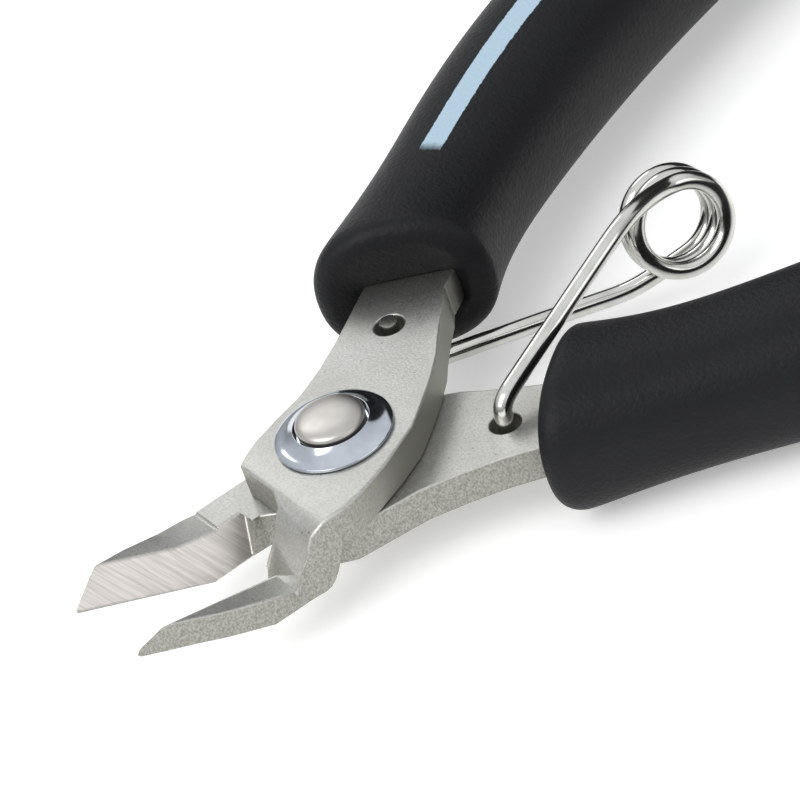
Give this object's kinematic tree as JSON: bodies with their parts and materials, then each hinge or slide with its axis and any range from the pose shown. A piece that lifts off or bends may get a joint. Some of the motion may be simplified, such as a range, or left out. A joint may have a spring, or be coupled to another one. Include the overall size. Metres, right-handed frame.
{
  "type": "flush cutter",
  "caption": "Spring-opened flush cutter with two crossed steel blades on a rivet, upturned bevelled jaws and black sleeved handles.",
  "frame": {"origin": "centre of the rivet's flat back face, on the pivot axis", "axes": "+X towards the handle ends, +Y towards the upper blade's handle, +Z along the rivet to its rounded head"},
  "size_m": [0.1283, 0.0712, 0.014],
  "materials": {
    "blade_steel": "bead-blasted satin",
    "rivet_steel": "satin",
    "collar_steel": "polished",
    "spring_wire": "drawn and polished",
    "sleeve": "matt with a fine grain"
  },
  "bodies": {
    "lower_half": {"lower_blade": "blade_steel", "lower_grip": "sleeve", "pivot_rivet": "rivet_steel", "rivet_collar": "collar_steel"},
    "upper_half": {"upper_blade": "blade_steel", "upper_grip": "sleeve"},
    "spring_front_half": {"spring_front": "spring_wire"},
    "spring_rear_half": {"spring_rear": "spring_wire"}
  },
  "joints": [
    {"name": "jaw_pivot", "type": "hinge", "parent": "lower_half", "child": "upper_half", "pos_m": [0, 0, 0], "axis": [0, 0, -1], "range_deg": [0, 19], "stiffness_Nm_per_rad": 0.085, "springref_deg": -20.05},
    {"name": "spring_hook", "type": "hinge", "parent": "lower_half", "child": "spring_front_half", "pos_m": [0.0089, -0.00595, 0.0036], "axis": [0, 0, -1], "range_deg": [0, 14], "deforming": ["spring_front"]},
    {"name": "spring_coil", "type": "hinge", "parent": "spring_front_half", "child": "spring_rear_half", "pos_m": [0.0285, 0, 0.0042], "axis": [0, 0, 1], "range_deg": [0, 9], "deforming": ["spring_rear"]}
  ],
  "couplings": [
    {"joint": "spring_hook", "follows": "jaw_pivot", "ratio": 0.736},
    {"joint": "spring_coil", "follows": "jaw_pivot", "ratio": 0.472}
  ]
}
